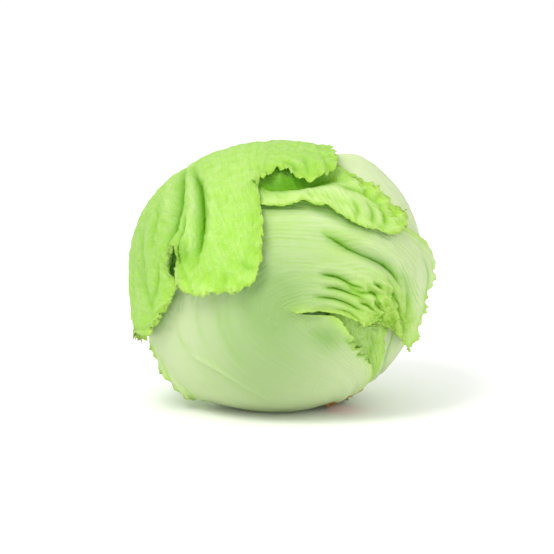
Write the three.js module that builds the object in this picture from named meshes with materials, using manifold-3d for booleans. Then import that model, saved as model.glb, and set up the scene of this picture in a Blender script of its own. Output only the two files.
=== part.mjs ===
// Head of iceberg lettuce: a cut stem, a dense heart and seven wrapper leaves laid over each other.
// Millimetres, +Z up. The head rests on a small flat spot under its middle, with the cut stem low at the right.
//
// Every piece is a surface round the heart's middle. A place on it is a direction from that middle, and
// its distance is the heart's own radius there plus the height of the piece's layer, so that the layers
// nest without touching. Outlines are given as seen from the front, in millimetres right of and above
// the middle of that view.
import * as THREE from "three";
import Module from "manifold-3d";

// The heart, and how far above it each layer's outer face lies.
const HEART_HALF = new THREE.Vector3(72.7, 69.7, 65.1);
const HEART_PLACE = { right: 3.4, up: -3.7 };
const HEART_POWER = 2.12;
const LAYER = { right: 3, inner: 5.4, left: 4.9, front: 7.9, back: 7.9, shoulder: 10.9, cap: 13.9 };
const BLADE = 1.1;
const REST_SAG = 2.6;

// The view that the outlines are read from looks level and slightly down at the front.
const VIEW_ABOVE = THREE.MathUtils.degToRad(10);

// The cut stem.
const STEM_SEEN = { right: 32.6, up: -65.3, near: 2 };
const STEM = { radius: 12, blunt: 8.4, deep: 38, proud: 8.2, chamfer: 1.5, sunk: 0.6, sides: 28, clearance: 0.4 };
const LEAF_START = 11;
const SHOULDER_START = 32;

const RIGHT = new THREE.Vector3(1, 0, 0);
const UP = new THREE.Vector3(0, Math.sin(VIEW_ABOVE), Math.cos(VIEW_ABOVE));
const NEAR = new THREE.Vector3(0, -Math.cos(VIEW_ABOVE), Math.sin(VIEW_ABOVE));

function inView(right, up, near) {
  return new THREE.Vector3().addScaledVector(RIGHT, right).addScaledVector(UP, up).addScaledVector(NEAR, near);
}

// The direction of the point that shows right and up of the view's middle on an ellipsoid round the heart. side is 1
// on the half of the head that faces the viewer and -1 on the half behind.
function throughEllipsoid(right, up, side, height) {
  const reach = HEART_HALF.clone().addScalar(height);
  const flat = inView(right - HEART_PLACE.right, up - HEART_PLACE.up, 0);
  const p = flat.clone().divide(reach);
  const n = NEAR.clone().divide(reach);
  const half = p.dot(n) / n.lengthSq();
  const inside = half * half - (p.lengthSq() - 1) / n.lengthSq();
  const depth = -half + side * Math.sqrt(Math.max(inside, 0));
  return flat.addScaledVector(NEAR, depth).normalize();
}

// The same on the heart's own shape, with the height of a layer over it, found in a few steps.
function direction(right, up, side, height) {
  const STEPS = 4;
  const SHARE = 0.8;
  let [x, y] = [right, up];
  let dir = throughEllipsoid(x, y, side, height);
  for (let i = 0; i < STEPS; i += 1) {
    const p = dir.clone().multiplyScalar(smoothRadius(dir) + height);
    x += SHARE * (right - HEART_PLACE.right - p.dot(RIGHT));
    y += SHARE * (up - HEART_PLACE.up - p.dot(UP));
    dir = throughEllipsoid(x, y, side, height);
  }
  return dir;
}

const frontAt = (height) => (right, up) => direction(right, up, 1, height);
const behindAt = (height) => (right, up) => direction(right, up, -1, height);

// The sum of the bumps at a direction, each with its middle, height and reach.
function near(dir, bumps) {
  let sum = 0;
  for (const { to, by, reach } of bumps) {
    const far = dir.distanceTo(to) * HEART_HALF.x;
    sum += by * Math.exp(-((far / reach) ** 2));
  }
  return sum;
}

// Where the head swells out of its plain round shape or falls short of it.
const SWELLS = [
  { to: throughEllipsoid(62, 52, 1, LAYER.front), by: 4.5, reach: 34 },
  { to: throughEllipsoid(-75, 38, 1, LAYER.cap), by: 3.5, reach: 34 },
  { to: throughEllipsoid(-53, -60, 1, LAYER.front), by: 4, reach: 28 },
  { to: throughEllipsoid(20, 71, 1, LAYER.cap), by: -4, reach: 20 },
  { to: throughEllipsoid(47, 62, 1, LAYER.right), by: 3.2, reach: 14 },
  { to: throughEllipsoid(30, -72, 1, LAYER.front), by: -2, reach: 22 },
  { to: throughEllipsoid(66, -42, 1, LAYER.right), by: -1.5, reach: 18 },
];

function smoothRadius(dir) {
  const sum =
    Math.abs(dir.x / HEART_HALF.x) ** HEART_POWER +
    Math.abs(dir.y / HEART_HALF.y) ** HEART_POWER +
    Math.abs(dir.z / HEART_HALF.z) ** HEART_POWER;
  return sum ** (-1 / HEART_POWER) + near(dir, SWELLS);
}

const front = frontAt(LAYER.front);

const STEM_AXIS = inView(STEM_SEEN.right, STEM_SEEN.up, STEM_SEEN.near).normalize();
const STEM_NEAR = NEAR.clone().addScaledVector(STEM_AXIS, -NEAR.dot(STEM_AXIS)).normalize();
const STEM_LEFT = new THREE.Vector3().crossVectors(STEM_AXIS, STEM_NEAR).normalize();

// The direction that lies away degrees from the stem's axis. turn is 0 towards the viewer and 90 to the left.
function roundStem(turn, away = LEAF_START) {
  const a = THREE.MathUtils.degToRad(away);
  const t = THREE.MathUtils.degToRad(turn);
  return STEM_AXIS.clone()
    .multiplyScalar(Math.cos(a))
    .addScaledVector(STEM_NEAR, Math.sin(a) * Math.cos(t))
    .addScaledVector(STEM_LEFT, Math.sin(a) * Math.sin(t));
}

// The direction itself, or where it would run into the stem, the nearest one that clears it.
function clearOfStem(dir) {
  const angle = dir.angleTo(STEM_AXIS);
  const least = THREE.MathUtils.degToRad(LEAF_START);
  if (angle >= least) return dir;
  const side = dir.clone().addScaledVector(STEM_AXIS, -dir.dot(STEM_AXIS)).normalize();
  return STEM_AXIS.clone().multiplyScalar(Math.cos(least)).addScaledVector(side, Math.sin(least));
}

// Folds that press into the head and every layer over them: a path, a half width and a depth.
const FOLDS = [
  { path: [[-55, 62], [-57, 46], [-58, 34], [-63, 16]], layer: LAYER.cap, wide: 4.5, deep: 3.2 },
  { path: [[-49, 62], [-45, 48], [-43, 32], [-46, 8]], layer: LAYER.cap, wide: 4.5, deep: 3 },
  { path: [[-14, 51], [0, 49], [16, 51], [30, 54], [44, 50]], layer: LAYER.shoulder, wide: 5.5, deep: 3.2 },
  { path: [[-14, 36], [4, 36.5], [16, 38], [28, 34], [40, 27], [54, 22]], layer: LAYER.front, wide: 5.5, deep: 2.6 },
  { path: [[22, 21], [35, 16], [50, 9.5], [60, 3], [66, -6]], layer: LAYER.front, wide: 3.6, deep: 3 },
  { path: [[12, -21], [26, -22], [38, -28]], layer: LAYER.front, wide: 4.5, deep: 2.6 },
].map((fold) => ({ ...fold, path: fold.path.map((p) => frontAt(fold.layer)(...p)) }));

// How far the folds press the surface in at a direction: a smooth groove along each path, running out at its ends.
function foldDepth(dir) {
  const END = 0.02;
  const size = HEART_HALF.x;
  let depth = 0;
  for (const { path, wide, deep } of FOLDS) {
    let nearest = Infinity;
    let along = 0;
    for (let i = 0; i + 1 < path.length; i += 1) {
      const segment = new THREE.Line3(path[i], path[i + 1]);
      const t = segment.closestPointToPointParameter(dir, true);
      const distance = segment.at(t, new THREE.Vector3()).distanceTo(dir) * size;
      if (distance < nearest) {
        nearest = distance;
        along = (i + t) / (path.length - 1);
      }
    }
    const ends = Math.sqrt(Math.max(Math.sin(Math.PI * THREE.MathUtils.clamp(along, END, 1 - END)), 0));
    depth += deep * ends * Math.exp(-((nearest / wide) ** 2));
  }
  return depth;
}

const heartRadius = (dir) => smoothRadius(dir) - foldDepth(dir);

// The place at a height over the heart, for a piece whose layer is given. Under the head every layer is pressed
// flat, and the lowest ones lie on the table.
function place(dir, height, layer) {
  const p = dir.clone().multiplyScalar(heartRadius(dir) + height);
  const lowest = HEART_HALF.z - REST_SAG + Math.min(layer, LAYER.front) + Math.min(height - layer, 0);
  p.z = Math.max(p.z, -lowest);
  return p;
}

// A closed body from its outer and inner grid of places, which share their size. Each cell is split alike on both faces.
function shell(outer, inner, rows, columns) {
  const at = (row, column) => row * (columns + 1) + column;
  const below = (rows + 1) * (columns + 1);
  const index = [];
  const quad = (a, b, c, d) => index.push(a, b, c, a, c, d);
  for (let r = 0; r < rows; r += 1)
    for (let c = 0; c < columns; c += 1) {
      const [p, q, s, t] = [at(r, c), at(r, c + 1), at(r + 1, c + 1), at(r + 1, c)];
      index.push(p, q, s, p, s, t);
      index.push(below + p, below + s, below + q, below + p, below + t, below + s);
    }
  const rim = [];
  for (let c = 0; c < columns; c += 1) rim.push(at(0, c));
  for (let r = 0; r < rows; r += 1) rim.push(at(r, columns));
  for (let c = columns; c > 0; c -= 1) rim.push(at(rows, c));
  for (let r = rows; r > 0; r -= 1) rim.push(at(r, 0));
  rim.forEach((v, i) => {
    const next = rim[(i + 1) % rim.length];
    quad(v, below + v, below + next, next);
  });
  const geometry = new THREE.BufferGeometry().setFromPoints([...outer, ...inner]);
  geometry.setIndex(index);
  geometry.computeVertexNormals();
  return geometry;
}

// The place along a smooth curve through directions, as a direction.
function along(points, share) {
  return new THREE.CatmullRomCurve3(points, false, "catmullrom", 0.5).getPoint(share).normalize();
}

// Shares along a curve through directions that lie evenly along its length.
function evenShares(points, steps) {
  const curve = new THREE.CatmullRomCurve3(points, false, "catmullrom", 0.5);
  return Array.from({ length: steps + 1 }, (_, i) => curve.getUtoTmapping(i / steps));
}

const smooth = THREE.MathUtils.smoothstep;

// One leaf. rows holds the directions across it from the stem end to the tip, midrib is the share of the
// width at which the rib runs, and frill is the ruffle's height at the left side, the right side and the tip.
// teeth is how far the margin runs in and out, flares make the ruffle larger round a direction, and lifts raise
// the blade there.
function leafGeometry({ height, rows, midrib, rib, frill, teeth = 0, flares = [], lifts = [], across, lengthways }) {
  const RUFFLE_WIDE = 13;
  const WAVE_LONG = 17;
  const TOOTH_DEEP = 9;
  const TOOTH_TURNS = 1.37;
  const RIB_WIDE = 0.09;
  const RIB_FADES = [0.1, 0.75];
  const MARGIN_GROWS = [0.25, 0.6];
  const directionsOf = rows(frontAt(height), behindAt(height));
  const columnsOf = directionsOf.map((row) => Array.from({ length: across + 1 }, (_, c) => along(row, c / across)));
  const shares = evenShares(columnsOf.map((row) => row[across / 2]), lengthways);
  const directions = [];
  for (const share of shares)
    for (let c = 0; c <= across; c += 1)
      directions.push(clearOfStem(along(columnsOf.map((row) => row[c]), share)));
  const flat = directions.map((dir) => place(dir, height, height));
  const at = (r, c) => r * (across + 1) + c;
  const gap = (a, b) => flat[a].distanceTo(flat[b]);

  const fromLeft = new Float64Array(flat.length);
  const upSide = new Float64Array(flat.length);
  for (let r = 0; r <= lengthways; r += 1)
    for (let c = 0; c <= across; c += 1) {
      if (c > 0) fromLeft[at(r, c)] = fromLeft[at(r, c - 1)] + gap(at(r, c), at(r, c - 1));
      if (r > 0) upSide[at(r, c)] = upSide[at(r - 1, c)] + gap(at(r, c), at(r - 1, c));
    }

  // The way out of the leaf at a place, across it or towards its tip.
  const outward = (r, c, dr, dc) => {
    const from = flat[at(Math.max(r - dr, 0), THREE.MathUtils.clamp(c - dc, 0, across))];
    return flat[at(r, c)].clone().sub(from).normalize();
  };

  const outer = [];
  const inner = [];
  for (let r = 0; r <= lengthways; r += 1)
    for (let c = 0; c <= across; c += 1) {
      const v = at(r, c);
      const [u, t] = [c / across, r / lengthways];
      const edge = (distance) => Math.max(0, 1 - distance / RUFFLE_WIDE) ** 2;
      const wave = (length) => 0.5 + 0.5 * Math.sin((2 * Math.PI * length) / WAVE_LONG);
      const grown = smooth(t, ...MARGIN_GROWS);
      const ruffle =
        frill.left * grown * edge(fromLeft[v]) * wave(upSide[v]) +
        frill.right * grown * edge(fromLeft[at(r, across)] - fromLeft[v]) * wave(upSide[v] + WAVE_LONG / 3) +
        frill.tip * edge(upSide[at(lengthways, c)] - upSide[v]) * wave(fromLeft[v]);
      const raised = ruffle * (1 + near(directions[v], flares)) + near(directions[v], lifts);
      const spine = rib * Math.exp(-(((u - midrib) / RIB_WIDE) ** 2)) * (1 - smooth(t, ...RIB_FADES));
      const shift = new THREE.Vector3();
      const tooth = (distance, length) => teeth * Math.max(0, 1 - distance / TOOTH_DEEP) * wave(length * TOOTH_TURNS);
      shift.addScaledVector(outward(r, c, 1, 0), tooth(upSide[at(lengthways, c)] - upSide[v], fromLeft[v]));
      shift.addScaledVector(outward(r, c, 0, 1), grown * tooth(fromLeft[at(r, across)] - fromLeft[v], upSide[v]));
      shift.addScaledVector(outward(r, c, 0, -1), grown * tooth(fromLeft[v], upSide[v]));
      outer.push(place(directions[v], height + raised + spine, height).add(shift));
      inner.push(place(directions[v], height + raised - BLADE, height).add(shift));
    }
  return shell(outer, inner, lengthways, across);
}

// The leaves, inmost first. Each row runs from the leaf's left side to its right side, seen from outside with the stem below.
const LEAVES = [
  {
    name: "leaf_right",
    colour: 0xdfeec2,
    height: LAYER.right,
    across: 14,
    lengthways: 14,
    midrib: 0.5,
    rib: 1.2,
    frill: { left: 0, right: 0, tip: 0 },
    lifts: [{ to: front(62, 52), by: 3, reach: 26 }],
    rows: (front, behind) => [
      [-20, -50, -80, -110, -140].map((turn) => roundStem(turn)),
      [front(50, -46), front(60, -43), front(70, -38), behind(60, -40), behind(42, -45)],
      [front(36, -28), front(60, -19), front(79, -12), behind(66, -12), behind(38, -15)],
      [front(28, 0), front(58, 12), front(81, 18), behind(66, 22), behind(34, 20)],
      [front(20, 30), front(44, 42), front(63, 50), behind(48, 52), behind(22, 48)],
      [front(2, 52), front(16, 62), front(28, 69), behind(22, 66), behind(5, 58)],
    ],
  },
  {
    name: "leaf_inner",
    colour: 0xa6d15a,
    height: LAYER.inner,
    across: 8,
    lengthways: 12,
    midrib: 0.5,
    rib: 0.6,
    frill: { left: 0, right: 0.8, tip: 0.8 },
    lifts: [{ to: STEM_AXIS, by: -1, reach: 18 }],
    rows: (front, behind) => [
      [-8, -24, -40].map((turn) => roundStem(turn)),
      [front(38, -54), front(47, -52), front(55, -50)],
      [front(30, -38), front(43, -36), front(57, -35)],
      [front(27, -22), front(43, -20), front(59, -23)],
      [front(30, -8), front(45, -5), front(61, -12)],
    ],
  },
  {
    name: "leaf_left",
    colour: 0xc9e39c,
    height: LAYER.left,
    across: 14,
    lengthways: 20,
    midrib: 0.5,
    rib: 0.6,
    frill: { left: 0, right: 0, tip: 0 },
    lifts: [{ to: front(-18, -72), by: -0.4, reach: 16 }],
    rows: (front, behind) => [
      [148, 128, 108, 88].map((turn) => roundStem(turn)),
      [behind(-8, -34), behind(-24, -46), behind(-28, -60), front(-22, -69)],
      [behind(-40, -5), behind(-60, -20), behind(-68, -40), front(-46, -46)],
      [behind(-55, 32), behind(-74, 15), front(-76, -5), front(-46, -8)],
      [behind(-42, 55), behind(-62, 46), front(-62, 30), front(-42, 20)],
      [behind(-30, 62), front(-44, 60), front(-40, 52), front(-30, 42)],
    ],
  },
  {
    name: "leaf_back",
    colour: 0xb4dc78,
    height: LAYER.back,
    across: 14,
    lengthways: 14,
    midrib: 0.5,
    rib: 1.6,
    frill: { left: 2.6, right: 0, tip: 0.8 },
    teeth: 1,
    rows: (front, behind) => [
      [-120, -136, -152, -168].map((turn) => roundStem(turn)),
      [behind(58, -42), behind(48, -42), behind(34, -42), behind(20, -42)],
      [behind(76, -12), behind(56, -8), behind(30, -6), behind(4, -10)],
      [behind(76, 16), behind(56, 26), behind(28, 30), behind(0, 22)],
      [behind(60, 41), behind(46, 49), behind(27, 51), behind(9, 43)],
    ],
  },
  {
    name: "leaf_front",
    colour: 0xc2e092,
    height: LAYER.front,
    across: 20,
    lengthways: 28,
    midrib: 0.7,
    rib: 1.4,
    frill: { left: 0.5, right: 0.5, tip: 2.4 },
    flares: [{ to: front(-60, -50), by: 4.5, reach: 34 }],
    lifts: [
      { to: front(84, 2), by: 1, reach: 20 },
      { to: front(70, -36), by: 2, reach: 16 },
      { to: front(48, -14), by: 2.4, reach: 14 },
      { to: STEM_AXIS, by: -1, reach: 18 },
    ],
    teeth: 1.6,
    rows: (front, behind) => [
      [106, 76, 44, 12, -20].map((turn) => roundStem(turn)),
      [behind(-8, -63), front(8, -70), front(26, -64), front(40, -58), front(50, -53)],
      [front(-48, -68), front(-24, -66), front(6, -57), front(30, -50), front(44, -43)],
      [front(-72, -46), front(-46, -48), front(-15, -44), front(16, -39), front(38, -34)],
      [front(-82, -22), front(-54, -24), front(-27, -27), front(3, -29), front(30, -23.5)],
      [front(-60, 12), front(-44, 6), front(-24, -3), front(-7, -14), front(9, -21)],
      [front(-38, 38), front(-22, 26), front(-6, 12), front(10, -5), front(21, -18.5)],
      [front(8, 43), front(17, 28), front(26, 11), front(32, -6), front(36, -21)],
      [front(46, 33), front(53, 21), front(54, 8), front(50, -8), front(44, -27)],
      [
        front(84, 9), front(81, -10), front(76, -26), front(69, -40), front(64, -34), front(57, -28),
        front(48, -27),
      ],
    ],
  },
  {
    name: "leaf_shoulder",
    colour: 0xb6e26c,
    height: LAYER.shoulder,
    across: 28,
    lengthways: 16,
    midrib: 0.5,
    rib: 0,
    frill: { left: 0, right: 0, tip: 0.8 },
    flares: [{ to: front(58, 38), by: 3, reach: 20 }],
    teeth: 1.4,
    rows: (front, behind) => [
      [200, 192, 184, 176].map((turn) => roundStem(turn, SHOULDER_START)),
      [behind(16, -38), behind(10, -38), behind(4, -38), behind(-4, -38)],
      [behind(13, 0), behind(2, 2), behind(-12, 0), behind(-30, -5)],
      [behind(17, 40), behind(2, 45), behind(-16, 45), behind(-38, 38)],
      [front(24, 66), front(4, 71), front(-16, 69), front(-42, 58)],
      [front(38, 56), front(47, 42), front(28, 52), front(8, 56), front(-15, 54), front(-40, 50)],
      [
        front(35, 57), front(47, 50), front(57, 42), front(66, 34), front(69, 27), front(61, 22),
        front(51, 25), front(43, 28), front(34, 33), front(26, 38), front(18, 39), front(12, 41),
        front(8, 39), front(0, 38), front(-11, 38), front(-24, 40), front(-38, 44),
      ],
    ],
  },
  {
    name: "leaf_cap",
    colour: 0xa5dc55,
    height: LAYER.cap,
    across: 40,
    lengthways: 20,
    midrib: 0.42,
    rib: 1.8,
    frill: { left: 1.6, right: 1.6, tip: 2.4 },
    flares: [{ to: front(31, 65), by: -0.8, reach: 15 }],
    lifts: [
      { to: front(-83, -34), by: 0.6, reach: 24 },
      { to: front(-84, 6), by: 0.4, reach: 20 },
      { to: front(20, 56), by: 1, reach: 12 },
    ],
    teeth: 1.8,
    rows: (front, behind) => [
      [196, 184, 172, 160].map((turn) => roundStem(turn)),
      [behind(24, -44), behind(12, -45), behind(0, -46), behind(-12, -48)],
      [behind(33, -4), behind(-3, -8), behind(-32, -15), behind(-55, -40)],
      [behind(15, 35), behind(-4, 38), behind(-28, 32), behind(-62, 15), behind(-78, -22)],
      [front(30, 68), front(5, 73), front(-20, 70), front(-48, 58), front(-72, 38), front(-83, 8), front(-84, -25)],
      [
        front(31, 65), front(14, 62), front(-5, 62), front(-17, 46), front(-26, 32), front(-40, 30),
        front(-56, 33), front(-67, 25), front(-76, -2), front(-83, -29),
      ],
      [
        front(31, 62), front(29, 58), front(23, 55), front(16, 53), front(9, 54), front(3, 56), front(-2, 58),
        front(-7, 54), front(-15, 53), front(-12, 46), front(-11, 38), front(-9.5, 28), front(-10, 18),
        front(-10.5, 7), front(-14, -2), front(-20, -8), front(-29, -10), front(-38, -10), front(-46, -11),
        front(-51.5, -5), front(-54, 3), front(-52.5, 11), front(-56, 16), front(-60.5, 12), front(-60.5, 4),
        front(-58, -3), front(-57, -11), front(-62, -18), front(-67, -26), front(-72, -33), front(-77, -35),
        front(-82, -34),
      ],
    ],
  },
];

// The cut stem: a plug from inside the heart to just past the leaves' starts, with a chamfered, slightly sunk cut.
function stemGeometry(grow = 0) {
  const outside = HEART_HALF.z + STEM.proud;
  const radius = STEM.radius + grow;
  const start = outside - STEM.deep - grow;
  const end = outside + (grow > 0 ? STEM.deep : 0);
  const profile = [
    new THREE.Vector2(0, start),
    new THREE.Vector2(STEM.blunt, start),
    new THREE.Vector2(radius, start + STEM.deep / 3),
    new THREE.Vector2(radius, end - STEM.chamfer),
    new THREE.Vector2(radius - STEM.chamfer, end),
    new THREE.Vector2(0, end - STEM.sunk),
  ];
  const geometry = new THREE.LatheGeometry(profile, STEM.sides);
  const turn = new THREE.Quaternion().setFromUnitVectors(new THREE.Vector3(0, 1, 0), STEM_AXIS);
  return geometry.applyQuaternion(turn);
}

// The heart's closed surface, with the edges of its tightly folded leaves standing as low steps that wind up from the stem.
function heartGeometry() {
  const [TURNS, RINGS] = [36, 22];
  const [WRAPS, CLIMB, STEP] = [5, 1.6, 0.9];
  const points = [];
  const ringPoint = (ring, turn) => {
    const dir = roundStem((360 * turn) / TURNS, (180 * ring) / RINGS);
    const winding = WRAPS * (turn / TURNS) + CLIMB * (ring / RINGS);
    const step = STEP * (winding - Math.floor(winding)) * Math.sin((Math.PI * ring) / RINGS);
    return place(dir, -STEP + step, 0);
  };
  points.push(ringPoint(0, 0));
  for (let ring = 1; ring < RINGS; ring += 1)
    for (let turn = 0; turn < TURNS; turn += 1) points.push(ringPoint(ring, turn));
  points.push(ringPoint(RINGS, 0));
  const at = (ring, turn) => 1 + (ring - 1) * TURNS + (turn % TURNS);
  const last = points.length - 1;
  const index = [];
  for (let turn = 0; turn < TURNS; turn += 1) {
    index.push(0, at(1, turn), at(1, turn + 1));
    for (let ring = 1; ring + 1 < RINGS; ring += 1) {
      const [a, b] = [at(ring, turn), at(ring, turn + 1)];
      const [c, d] = [at(ring + 1, turn + 1), at(ring + 1, turn)];
      index.push(a, c, b, a, d, c);
    }
    index.push(last, at(RINGS - 1, turn + 1), at(RINGS - 1, turn));
  }
  const geometry = new THREE.BufferGeometry().setFromPoints(points);
  geometry.setIndex(index);
  return geometry;
}

const wasm = await Module();
wasm.setup();

// A closed geometry as a solid for cutting. Places that coincide are merged first.
function solidOf(geometry) {
  const found = new Map();
  const vertices = [];
  const position = geometry.getAttribute("position");
  const same = Array.from({ length: position.count }, (_, i) => {
    const p = [position.getX(i), position.getY(i), position.getZ(i)];
    const key = p.map((x) => Math.round(x * 1000)).join(" ");
    if (!found.has(key)) {
      found.set(key, vertices.length / 3);
      vertices.push(...p);
    }
    return found.get(key);
  });
  const corners = Array.from(geometry.index.array, (i) => same[i]);
  const kept = [];
  for (let i = 0; i < corners.length; i += 3) {
    const [a, b, c] = corners.slice(i, i + 3);
    if (a !== b && b !== c && c !== a) kept.push(a, b, c);
  }
  const mesh = new wasm.Mesh({
    numProp: 3,
    vertProperties: new Float32Array(vertices),
    triVerts: new Uint32Array(kept),
  });
  return new wasm.Manifold(mesh);
}

function geometryOf(solid) {
  const mesh = solid.getMesh();
  const geometry = new THREE.BufferGeometry();
  geometry.setAttribute("position", new THREE.BufferAttribute(new Float32Array(mesh.vertProperties), 3));
  geometry.setIndex(new THREE.BufferAttribute(new Uint32Array(mesh.triVerts), 1));
  geometry.computeVertexNormals();
  return geometry;
}

function piece(name, geometry, colour, roughness) {
  const material = new THREE.MeshStandardMaterial({ color: colour, roughness, metalness: 0 });
  const mesh = new THREE.Mesh(geometry, material);
  mesh.name = name;
  return mesh;
}

const head = new THREE.Group();
head.add(piece("stem", stemGeometry(), 0xc9a878, 0.75));
const heart = solidOf(heartGeometry()).subtract(solidOf(stemGeometry(STEM.clearance)));
head.add(piece("heart", geometryOf(heart), 0xe6f0c8, 0.6));
for (const leaf of LEAVES) head.add(piece(leaf.name, leafGeometry(leaf), leaf.colour, 0.5));

// The origin is on the table, under the middle of the whole head.
const box = new THREE.Box3().setFromObject(head, true);
const middle = box.getCenter(new THREE.Vector3());
head.position.set(-middle.x, -middle.y, -box.min.z);

export default head;
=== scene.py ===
import functools
import math

import bpy
import numpy as np
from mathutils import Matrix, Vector, noise


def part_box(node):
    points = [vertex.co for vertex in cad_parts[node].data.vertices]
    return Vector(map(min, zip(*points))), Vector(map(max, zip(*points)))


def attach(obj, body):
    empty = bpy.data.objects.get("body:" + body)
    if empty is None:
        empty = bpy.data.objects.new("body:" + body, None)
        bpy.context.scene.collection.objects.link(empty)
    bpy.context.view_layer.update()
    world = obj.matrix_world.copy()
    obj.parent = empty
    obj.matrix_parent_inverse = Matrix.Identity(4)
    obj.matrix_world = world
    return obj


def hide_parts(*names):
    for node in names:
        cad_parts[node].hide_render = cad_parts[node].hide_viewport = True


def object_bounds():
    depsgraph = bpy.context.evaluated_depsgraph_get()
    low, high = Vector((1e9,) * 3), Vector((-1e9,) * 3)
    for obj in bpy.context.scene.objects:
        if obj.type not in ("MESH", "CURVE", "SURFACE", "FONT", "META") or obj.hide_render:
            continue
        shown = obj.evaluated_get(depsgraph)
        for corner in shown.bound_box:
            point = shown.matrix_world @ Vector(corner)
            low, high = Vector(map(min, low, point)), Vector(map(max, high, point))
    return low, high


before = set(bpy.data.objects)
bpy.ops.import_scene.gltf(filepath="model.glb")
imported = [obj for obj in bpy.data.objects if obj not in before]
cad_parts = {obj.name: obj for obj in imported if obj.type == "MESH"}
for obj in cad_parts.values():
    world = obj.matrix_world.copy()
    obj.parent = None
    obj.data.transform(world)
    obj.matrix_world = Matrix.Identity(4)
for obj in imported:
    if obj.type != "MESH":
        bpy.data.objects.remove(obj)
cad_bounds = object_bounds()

# A head of iceberg lettuce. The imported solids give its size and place, and the leaves here are finer sheets
# of the same form. Lengths are in millimetres from the heart's middle until a mesh is made.
MM = 0.001
SEED = 11

# The heart, and how far above it each layer's outer face lies.
HEART_HALF = np.array([72.7, 69.7, 65.1])
HEART_PLACE = (3.4, -3.7)
HEART_POWER = 2.12
LAYER = {"right": 3.0, "inner": 5.4, "left": 4.9, "front": 7.9, "back": 7.9, "shoulder": 10.9, "cap": 13.9}
BLADE = 0.7
REST_SAG = 2.6
VIEW_ABOVE = math.radians(10)

# The cut stem.
STEM_SEEN = (32.6, -65.3, 2.0)
STEM_RADIUS = 12.0
STEM_BLUNT = 8.4
STEM_DEEP = 38.0
STEM_PROUD = 8.2
STEM_CHAMFER = 1.5
STEM_SUNK = 0.6
LEAF_START = 11.0
SHOULDER_START = 32.0

# The photograph's frame: how far its centre lies from the middle of the outline, and how wide it is.
PHOTO_CENTRE = (-2.2, -1.1)
PHOTO_WIDE = 310.0
CAMERA_AWAY = 2200.0

RIGHT = np.array([1.0, 0.0, 0.0])
UP = np.array([0.0, math.sin(VIEW_ABOVE), math.cos(VIEW_ABOVE)])
NEAR = np.array([0.0, -math.cos(VIEW_ABOVE), math.sin(VIEW_ABOVE)])


def unit(v):
    return v / np.maximum(np.linalg.norm(v, axis=-1, keepdims=True), 1e-9)


def in_view(right, up, near):
    return RIGHT * right + UP * up + NEAR * near


def through_ellipsoid(right, up, side, height):
    """The direction of the point that is seen at right and up on an ellipsoid round the heart."""
    reach = HEART_HALF + height
    flat = in_view(right - HEART_PLACE[0], up - HEART_PLACE[1], 0)
    p, n = flat / reach, NEAR / reach
    half = p @ n / (n @ n)
    inside = half * half - (p @ p - 1) / (n @ n)
    return unit(flat + NEAR * (-half + side * math.sqrt(max(inside, 0))))


def near(dirs, bumps):
    """The sum of the bumps at each direction, each with its middle, height and reach."""
    total = np.zeros(dirs.shape[:-1])
    for to, by, reach in bumps:
        far = np.linalg.norm(dirs - to, axis=-1) * HEART_HALF[0]
        total = total + by * np.exp(-((far / reach) ** 2))
    return total


# Where the head swells out of its plain round shape or falls short of it.
SWELLS = [
    (through_ellipsoid(62, 52, 1, LAYER["front"]), 4.5, 34),
    (through_ellipsoid(-75, 38, 1, LAYER["cap"]), 3.5, 34),
    (through_ellipsoid(-53, -60, 1, LAYER["front"]), 4.0, 28),
    (through_ellipsoid(20, 71, 1, LAYER["cap"]), -4.0, 20),
    (through_ellipsoid(47, 62, 1, LAYER["right"]), 3.2, 14),
    (through_ellipsoid(30, -72, 1, LAYER["front"]), -2.0, 22),
    (through_ellipsoid(66, -42, 1, LAYER["right"]), -1.5, 18),
]


def smooth_radius(dirs):
    plain = (np.abs(dirs / HEART_HALF) ** HEART_POWER).sum(-1) ** (-1 / HEART_POWER)
    return plain + near(dirs, SWELLS)


def direction(right, up, side, height):
    """The same on the heart's own shape, with a layer's height over it, found in a few steps."""
    steps, share = 4, 0.8
    x, y = right, up
    found = through_ellipsoid(x, y, side, height)
    for _ in range(steps):
        p = found * (smooth_radius(found) + height)
        x += share * (right - HEART_PLACE[0] - p @ RIGHT)
        y += share * (up - HEART_PLACE[1] - p @ UP)
        found = through_ellipsoid(x, y, side, height)
    return found


def views_at(height):
    """The two readers of outline points for a layer: on the near half of the head and on the far half."""
    return tuple(functools.partial(direction, side=side, height=height) for side in (1, -1))


front, _ = views_at(LAYER["front"])
front_cap, _ = views_at(LAYER["cap"])
front_shoulder, _ = views_at(LAYER["shoulder"])

STEM_AXIS = unit(in_view(*STEM_SEEN))
STEM_NEAR = unit(NEAR - STEM_AXIS * (NEAR @ STEM_AXIS))
STEM_LEFT = unit(np.cross(STEM_AXIS, STEM_NEAR))


def turns(*angles, away=LEAF_START):
    """Directions that lie away degrees from the stem's axis, turned round it from the viewer to the left."""
    a, t = math.radians(away), np.radians(angles)[:, None]
    return list(STEM_AXIS * math.cos(a) + math.sin(a) * (STEM_NEAR * np.cos(t) + STEM_LEFT * np.sin(t)))


def smooth(x, low, high):
    t = np.clip((x - low) / (high - low), 0, 1)
    return t * t * (3 - 2 * t)


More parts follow.
